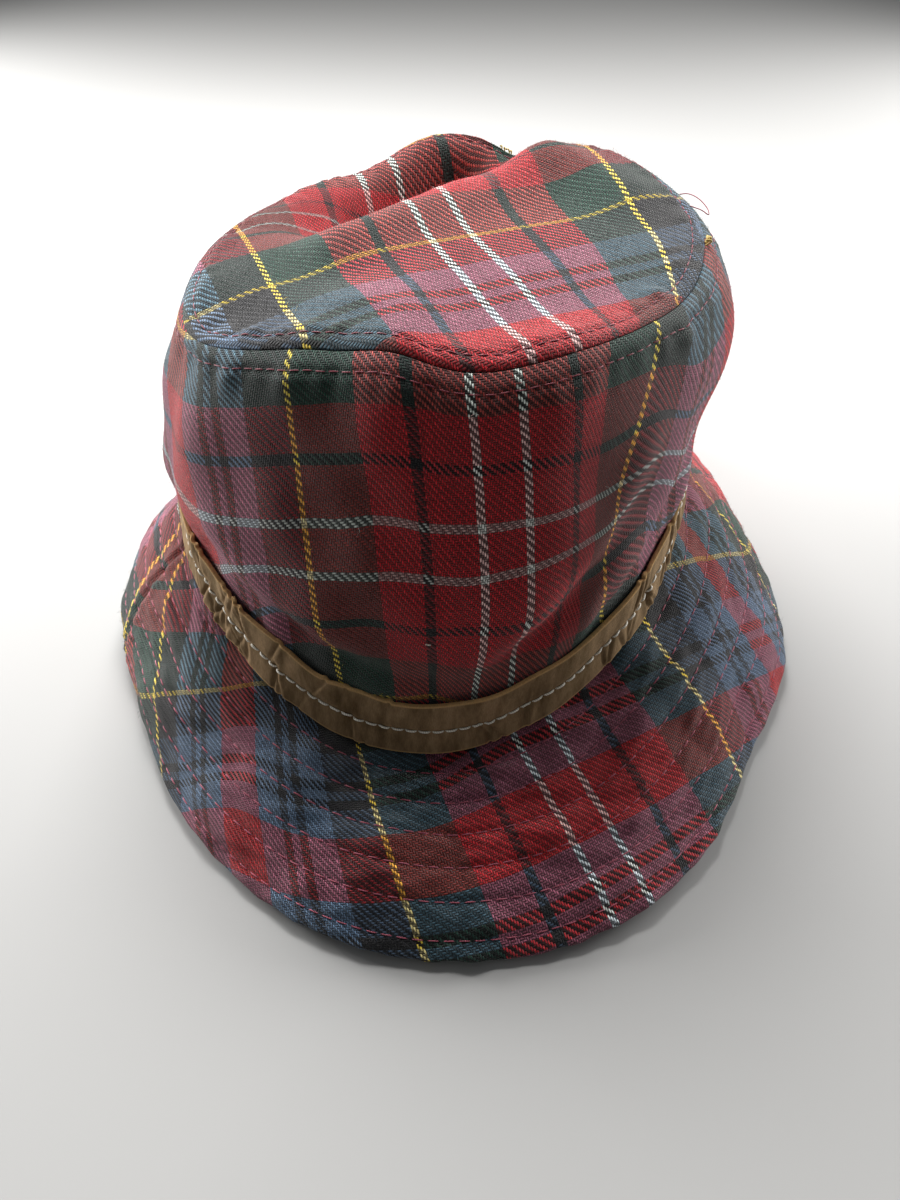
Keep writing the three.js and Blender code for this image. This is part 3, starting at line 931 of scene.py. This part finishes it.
# %% The tip's shape
TIP_FOLDS = table(
    "from_x from_y to_x to_y width up",
    (-1, 0, 1, 0, 40, 4), (-28, 6, 28, 58, 9, 6), (-34, 34, 18, 88, 9, -9), (42, 64, 62, 40, 11, 5),
    (-24, 46, 5, 75, 6, -11), (-60, -12, -20, -32, 8, 1.5), (20, -40, 60, -20, 10, -1.5),
)
TIP_LEVEL = 0.96  # from here out the tip is as high as its seam


def tip_cloth(azimuth, out):
    """Top face of the tip, from its middle (out 0) to the seam (out 1)."""
    seam = tip_seam(azimuth)
    middle = np.array([TIP_SEAM["x"], TIP_SEAM["y"], 0])
    points = middle + (seam - middle)[:, None] * np.asarray(out)[..., None]
    x, y = points[..., 0], points[..., 1]
    inside = np.clip(np.asarray(out) / TIP_LEVEL, 0, 1)
    height = tip_plane(x) + (seam[:, 2] - tip_plane(seam[:, 0]))[:, None] * inside**2
    lift = 0 * x
    rows = zip(*(TIP_FOLDS[name] for name in ("from_x", "from_y", "to_x", "to_y", "width", "up")))
    for from_x, from_y, to_x, to_y, width, up in rows:
        way_x, way_y = to_x - from_x, to_y - from_y
        share = ((x - from_x) * way_x + (y - from_y) * way_y) / (way_x**2 + way_y**2)
        share = np.clip(share, 0, 1)
        away = (x - from_x - share * way_x) ** 2 + (y - from_y - share * way_y) ** 2
        lift += up * np.exp(-0.5 * away / width**2)
    reach = np.linalg.norm((seam - middle)[:, :2], axis=-1)[:, None]
    within = (1 - np.asarray(out)) * reach
    grid = azimuth[:, None]
    free, sewn = near_seam(grid, within)
    uneven = 0.5 * ripple(grid, 0 * within, 31, 9) * np.clip(out, 0, 1) ** 2
    height += lift * np.clip((1 - inside) * 4, 0, 1) ** 0.7 + GAP + CLOTH + free * uneven + sewn

    # The tip's half of the rounded corner.
    angle = np.pi / 4 * (1 + np.clip(within / RIM_BEND, 0, 1))
    inward = RIM * (1 - np.cos(angle)) - np.minimum(within, RIM_BEND)
    inward *= bell(np.maximum(within - RIM_BEND, 0) / RIM_FADE)
    puff = bell(within / PUFF["fade"])
    move_out(points, azimuth, PUFF["out"] * puff - inward)
    points[..., 2] = height - RIM * (1 - np.sin(angle)) + PUFF["up"] * puff
    return points


print("folds in the tip:", len(TIP_FOLDS["up"]))

# %% How the tartan lies on the tip
# The tip was cut with the warp 22 degrees off the hat's front, so its stripes cross those of the side.
TIP_TURN = 22
TIP_ZERO = 6.0  # millimetres from the middle to the white pivot, across the warp
TIP_DOWN = table(
    "along thread",
    (-90, -235), (-75, -208), (-47, -166), (-13, -120), (4, -95), (28, -61), (42, -37), (49, -11),
    (56, 11), (61, 37), (68, 61), (85, 95), (100, 122), (115, 148),
)

# Millimetres for each thread on the left of the white pivot, and on its right along the warp.
LEFT_PITCH = 0.58
RIGHT_PITCH = table(
    "along pitch", (-90, 0.39), (-60, 0.43), (-40, 0.5), (-20, 0.58), (0, 0.615), (60, 0.7), (115, 0.7))


def tip_threads(points):
    """Thread numbers from where on the tip each point lies."""
    turn = math.radians(TIP_TURN)
    across = points[..., 0] * math.cos(turn) + points[..., 1] * math.sin(turn) - TIP_ZERO
    along = points[..., 1] * math.cos(turn) - points[..., 0] * math.sin(turn)
    right = through(RIGHT_PITCH["along"], RIGHT_PITCH["pitch"], along)
    pitch = LEFT_PITCH + (right - LEFT_PITCH) * ease(across / 30)
    return np.stack([across / pitch, through(TIP_DOWN["along"], TIP_DOWN["thread"], along)], -1)


print("the tip's warp is turned by, degrees:", TIP_TURN)


# %% Build the tip
tip_share = np.concatenate([np.linspace(SEAM_SHARE, 0.86, 37)[:-1], np.linspace(0.86, 0, 44)])
tip_grid = tip_cloth(azimuths, tip_share[None])
tip_uv = tip_threads(tip_grid)
sew_panel("crown_tip_cloth", tip_grid, tip_uv, CLOTH, SEAM_ROUND, "crown_tip", centred=True)

seam_reach = np.linalg.norm((tip_seam(azimuths) - (TIP_SEAM["x"], TIP_SEAM["y"], 0))[:, :2], axis=-1)
stitch_rows(
    "crown_tip_topstitch", [seam_path(tip_cloth, 1 - STITCH_IN / seam_reach, -1)], **SEAM_STITCH)
add_fuzz("crown_tip_fuzz", tip_grid[:, :-2], tip_uv[:, :-2], 9000, seed=22)

# %% [markdown]
# ## Loose ends at the tip seam
# A hand-finished seam keeps a few loose ends. At one end of the tip, one loop of the topstitch has
# been pulled out, and where a yellow stripe runs into the seam, its yarn has bunched into small loops.
# They are tubes like the stitches, each along its own short path beside the seam.

# %% Loose loops
PULLED_LOOP = table(
    "azimuth out up",
    (17.5, -1.6, 1.6), (16, 0.4, 2.4), (13, 1.8, 2.6), (9.5, 2.8, 1.8), (7.6, 2.5, 1.0),
    (9.4, 0.9, 1.4), (11.5, -1.7, 1.5),
)
BUNCHES = table("azimuth loops", (-5, 7), (72, 4))
LOOP_HEIGHT = 1.5  # millimetres that a bunched loop stands off the seam
YARN = dict(pulled=0.17, bunched=0.3, lint=0.22)  # radii in millimetres


def beside_seam(azimuth, out, up):
    """Points beside the tip seam, some way out from it and above it."""
    turn = np.radians(azimuth)
    return tip_seam(azimuth) + np.stack([out * np.cos(turn), out * np.sin(turn), up], -1)


def loose_tubes(name, paths, way, radius, colour):
    """Tubes of even thickness along loose paths. "way" is roughly the cloth's normal there."""
    radii = np.full(paths.shape[1], radius)
    tubes(name, paths, np.broadcast_to(np.array(way, float), paths.shape), radii, threads_of[colour])


steps = np.linspace(0, 1, 28)
knots = np.linspace(0, 1, len(PULLED_LOOP["azimuth"]))
loop = beside_seam(*(through(knots, PULLED_LOOP[name], steps) for name in ("azimuth", "out", "up")))
loose_tubes("crown_tip_pulled_loop", loop[None], (0.3, -0.2, 1), YARN["pulled"], "crimson")

random = np.random.default_rng(71)
arc = np.linspace(0, 1, 9)
loops = []
for middle, count in zip(BUNCHES["azimuth"], BUNCHES["loops"]):
    for _ in range(int(count)):
        at, lean = middle + random.normal(0, 1.3), random.uniform(-1.2, 1.2)
        out = -1.6 + LOOP_HEIGHT * np.sin(np.pi * arc) * random.uniform(0.5, 1.1)
        up = 1.2 + 1.6 * arc + 0.5 * np.sin(np.pi * arc)
        loops.append(beside_seam(at + lean * arc, out, up))
loose_tubes("crown_tip_bunched_yarn", np.array(loops), (1, 1, 1), YARN["bunched"], "yellow")

# One pale fleck of lint clings to the front of the side.
lint = side_cloth(np.linspace(269.6, 270.5, 9), np.array([[0.4]]))[None, :, 0] + (0, -0.35, 0)
loose_tubes("crown_side_lint", lint, (0, -1, 0.3), YARN["lint"], "cream")
print("loose loops:", 1 + len(loops))

# %% [markdown]
# ## The brim
# The brim is two layers of cloth quilted together by rows of topstitch, about a centimetre apart.
# Each row pulls the layers down into a channel, and between the rows the cloth stays puffed and
# wrinkles a little, because the rows were never sewn at quite the same tension. They press the two
# layers together, so the brim is drawn a little thinner here than its plain wall in the frame. The
# edge is turned, so it is round, and it lifts off the floor here and there.

# %% The brim's shape
BRIM_SLANT = 61  # millimetres of cloth from seam to edge
BRIM_EDGE_TOP = 2.2  # height of the upper side of the edge above the floor
BRIM_CLEAR = 0.1  # millimetres that the underside keeps off the floor
BRIM_JOIN = 199.5  # azimuth of the seam that closes the ring
BRIM_STITCHES = np.array([7.5, 17, 26.5, 36, 45.5, 55.5]) / BRIM_SLANT

# Depths and widths of the relief between and along the rows, and of the join, in millimetres.
QUILT = dict(wrinkles=0.4, wrinkle_width=4.2, channels=0.65, channel_width=1.3, uneven=0.5)
JOIN = dict(groove=0.8, groove_width=1.1, ridges=0.4, ridge_width=1.3, ridge_away=2.5)
BRIM_LIFTS = table(
    "azimuth spread up",
    (300, 16, 3.0), (262, 10, 1.2), (215, 10, 2.2), (196, 8, 2.5), (338, 9, 2.0), (20, 14, 2.5),
    (75, 12, 2.0), (130, 14, 2.5),
)


def brim_cloth(azimuth, out):
    """Top face of the brim, from the seam (out 0) to the edge (out 1)."""
    out = np.broadcast_to(out, (len(azimuth), np.shape(out)[-1]))
    seam, edge = brim_seam(azimuth), brim_edge(azimuth)
    edge[:, 2] += BRIM_EDGE_TOP
    slope = edge - seam
    run = np.linalg.norm(slope[:, :2], axis=-1)[:, None]
    chord = np.linalg.norm(slope, axis=-1)[:, None]
    share = np.clip(out, 0, 1)
    spare = np.clip(BRIM_SLANT - chord, 0.4, 1.5)
    arch = 5.4 * share**1.5 * (1 - share) * np.sqrt(0.375 * chord * spare)

    grid = azimuth[:, None]
    from_row = (share[..., None] - BRIM_STITCHES) * BRIM_SLANT
    channels = bell(from_row / QUILT["channel_width"]).sum(-1)
    wrinkles = 0 * share
    middles = np.concatenate([[0.03], (BRIM_STITCHES[1:] + BRIM_STITCHES[:-1]) / 2, [0.97]])
    for number, middle in enumerate(middles):
        near = bell((share - middle) * BRIM_SLANT / QUILT["wrinkle_width"])
        finest = int(50 + 30 * middle)
        wrinkles += near * ripple(grid, share * BRIM_SLANT * 2, 50 + number, finest)
    quilt = QUILT["wrinkles"] * wrinkles - QUILT["channels"] * channels
    quilt += QUILT["uneven"] * ripple(grid, share * BRIM_SLANT, 41, 20)
    per_degree = np.radians(np.linalg.norm(edge, axis=-1))[:, None]
    from_join = abs(degrees_between(grid, BRIM_JOIN) * per_degree)
    quilt -= JOIN["groove"] * bell(from_join / JOIN["groove_width"])
    quilt += JOIN["ridges"] * bell((from_join - JOIN["ridge_away"]) / JOIN["ridge_width"])
    raised = arch + quilt * ease((out + 0.02) * 20)

    leaning = slope[:, None] * out[..., None]
    leaning[..., 2] = np.where(out < 0, 0, leaning[..., 2])
    points = seam[:, None] + leaning
    way = slope[:, None, :2] / run[..., None]
    points[..., :2] += way * (-slope[:, None, 2] / chord * raised)[..., None]
    points[..., 2] += raised * run / chord + waves(BRIM_LIFTS, azimuth, "up")[:, None] * share**3
    return points


print("rows of stitches on the brim:", len(BRIM_STITCHES))

# %% How the tartan lies on the brim
# The brim is cut as one flat ring and sewn shut at the wearer's left, where the tartan breaks. Its
# stripes run straight down at the front, and turn steadily towards the back, as the grain of a flat
# ring does when it is bent into a cone. The rows give the slumped front, and the loop adds the rest.
BRIM_ACROSS = [
    (199, -270, -318), (215, -218, -290), (230, -165, -236), (245, -124, -172), (260, -83, -118),
    (275, -51, -70), (290, -8, -17), (305, 37, 45), (320, 86, 97), (335, 128, 171),
    (350, 191, 267), (365, 240, 325),
]
BRIM_DOWN = [
    (199, 174, 96), (211, 143, 73), (223, 120, 30), (236, 86, -14), (248, 80, -27), (265, 58, -40),
    (283, 39, -47), (295, 40, -51), (308, 51, -46), (320, 66, -30), (334, 88, -2), (345, 110, 25),
    (356, 138, 58), (365, 153, 80),
]
# The flat ring, in threads: its middle, its two radii, and its grain at the azimuth "start".
BRIM_CUT = dict(across=50, down=309, seam=246, edge=349, start=365, grain=50.5, turn=0.63)
for azimuth in range(380, 576, 15):
    grain = math.radians(BRIM_CUT["grain"] + BRIM_CUT["turn"] * (azimuth - BRIM_CUT["start"]))
    radii = BRIM_CUT["seam"], BRIM_CUT["edge"]
    BRIM_ACROSS.append((azimuth, *(BRIM_CUT["across"] + r * math.sin(grain) for r in radii)))
    BRIM_DOWN.append((azimuth, *(BRIM_CUT["down"] - r * math.cos(grain) for r in radii)))
BRIM_ACROSS, BRIM_DOWN = (table("azimuth seam edge", *rows) for rows in (BRIM_ACROSS, BRIM_DOWN))
BRIM_AT = dict(seam=0, edge=1)
BRIM_PIVOT = 181  # the wide red stripe's middle, where this count of the weft starts
print("spots on the brim:", len(BRIM_ACROSS["azimuth"]), "across,", len(BRIM_DOWN["azimuth"]), "down")

# %% Build the brim
brim_share = np.concatenate([np.linspace(1 - 1.2 / BRIM_SLANT, 0, 78), [-0.02, -0.038]])
brim_round = azimuths - azimuths[0] + BRIM_JOIN
brim_grid = brim_cloth(brim_round, brim_share[None])
order = np.clip(brim_share, 0, 1)
brim_uv = np.stack([
    count_threads(BRIM_ACROSS, BRIM_AT, order, brim_round),
    count_threads(BRIM_DOWN, BRIM_AT, order, brim_round) - BRIM_PIVOT], -1)
sew_panel(
    "brim_cloth", brim_grid, brim_uv, QUILTED, QUILTED / 2, "brim", lowest=BRIM_CLEAR)

stitch_rows(
    "brim_topstitch", [seam_path(brim_cloth, share, -1) for share in BRIM_STITCHES],
    colour="red", length=3.4, gap=0.8, radius=0.18)
add_fuzz("brim_fuzz", brim_grid, brim_uv, 13000, seed=23)

# %% [markdown]
# ## The suede band
# A long strip of suede is wrapped round the foot of the crown, lapped over its own start at the left
# side, and held by one running stitch. The strip is straight and the crown is not, so it creases
# where the crown turns most. The stitch draws a shallow channel, and the upper edge stays a little
# proud of the cloth, which bulges over it.

# %% The band's shape
BAND = dict(foot=1.2, width=17, start=179, lap=7)
BAND_STITCH = 0.42  # share of the width
BAND_ROWS = 34
BAND_COLUMNS = 1150  # half a millimetre each, because the creases are as fine as that
BAND_EDGE = 0.35  # radius of the cut edge

# Creases bunch together where the crown turns most. Each has a narrow valley and a softer ridge.
BAND_CREASES = table(
    "azimuth spread count", (224, 13, 30), (318, 12, 18), (250, 40, 8), (60, 60, 9), (150, 20, 5))
CREASE = dict(valley=0.6, ridge=1.3, ridge_away=1.6, lean=0.45, off_centre=5, reach=5)

band_azimuths = np.linspace(BAND["start"], BAND["start"] + 360 + BAND["lap"], BAND_COLUMNS)


def band_face(azimuth, share):
    """Outer face of the band, from its lower edge (share 0) to its upper one (share 1)."""
    share = np.broadcast_to(share, (len(azimuth), np.shape(share)[-1]))
    width = BAND["width"]
    across = (share - 0.5) * width
    grid = azimuth[:, None]
    up = BAND["foot"] + width * share + 0.35 * ripple(grid, 0 * share, 63, 30)
    channel = bell((share - BAND_STITCH) * width / 1.1)
    edges = bell(share * width / 2.5) - 0.6 * bell((1 - share) * width / 2.5)
    random = np.random.default_rng(61)
    creases = 0 * share
    for middle, spread, count in zip(*BAND_CREASES.values()):
        for _ in range(int(count)):
            at, lean = random.normal(middle, spread), random.normal(0, CREASE["lean"])
            depth, half = random.uniform(0.35, 0.95), random.choice([-1, -1, 1])
            away = degrees_between(grid, at) * SIDE_PER_DEGREE - lean * across
            reach = bell((across - half * CREASE["off_centre"]) / CREASE["reach"])
            ridge = 0.5 * bell((away - CREASE["ridge_away"]) / CREASE["ridge"])
            creases += depth * reach * (ridge - bell(away / CREASE["valley"]))
    soft = 0.3 * ripple(grid, across, 62, 26)
    overlap = (SUEDE + 0.2) * ease((grid - (BAND["start"] + 355)) / 5)
    raised = 0.45 + creases + soft - 0.55 * channel + 0.5 * edges + overlap
    return side_shape(azimuth, up / side_tall(azimuth)[:, None], GAP + SUEDE + raised)


print("creases in the band:", int(BAND_CREASES["count"].sum()))

# %% Build the band
band_share = np.concatenate([[0.0, 0.012], np.linspace(0.03, 0.97, BAND_ROWS), [0.988, 1.0]])
band_outer = band_face(band_azimuths, band_share[None])
band_run = np.linalg.norm(np.diff(band_outer[:, BAND_ROWS // 2], axis=0), axis=-1).cumsum()
band_run = np.concatenate([[0], band_run])
band_normal = unit(np.cross(np.gradient(band_outer, axis=0), np.gradient(band_outer, axis=1)))
band_uv = np.stack(np.broadcast_arrays(band_run[:, None], band_share[None]), -1)
low_edge, low_uv = turned_edge(band_outer, band_normal, band_uv, 0, 1, SUEDE, BAND_EDGE)
high_edge, high_uv = turned_edge(band_outer, band_normal, band_uv, -1, -2, SUEDE, BAND_EDGE)
band_inner = (band_outer - SUEDE * band_normal)[:, ::-COARSE]
band_points = np.concatenate([band_outer, high_edge, band_inner, low_edge[:, ::-1]], 1)
band_maps = np.concatenate([band_uv, high_uv, band_uv[:, ::-COARSE], low_uv[:, ::-1]], 1)

# The strip has two cut ends, so its grid stays open there and each end gets one face.
quads = grid_quads(band_points)
columns, rows = band_points.shape[:2]
start_face = np.arange(rows)
end_face = columns * rows - 1 - start_face
corner_uv = band_maps.reshape(-1, 2)[np.concatenate([quads.ravel(), start_face, end_face])]
faces = quads.tolist() + [start_face.tolist(), end_face.tolist()]
add_piece("hatband_suede", band_points, faces, "strip", corner_uv, suede, "hatband")

STITCH_LIFT = 0.15  # the stitch is drawn tight, so it bridges the finest creases
stitched = band_face(band_azimuths, BAND_STITCH + np.array([[-0.01, 0, 0.01]]))
stitch_normal = unit(np.cross(
    np.gradient(stitched[:, 1], axis=0), stitched[:, 2] - stitched[:, 0]))
stitch_line = stitched[:, 1] + STITCH_LIFT * stitch_normal
stitch_rows(
    "hatband_stitch", [(stitch_line, stitch_normal)], colour="cream", length=3.5, gap=0.45, radius=0.33)
print("band length, mm:", round(band_run[-1]))
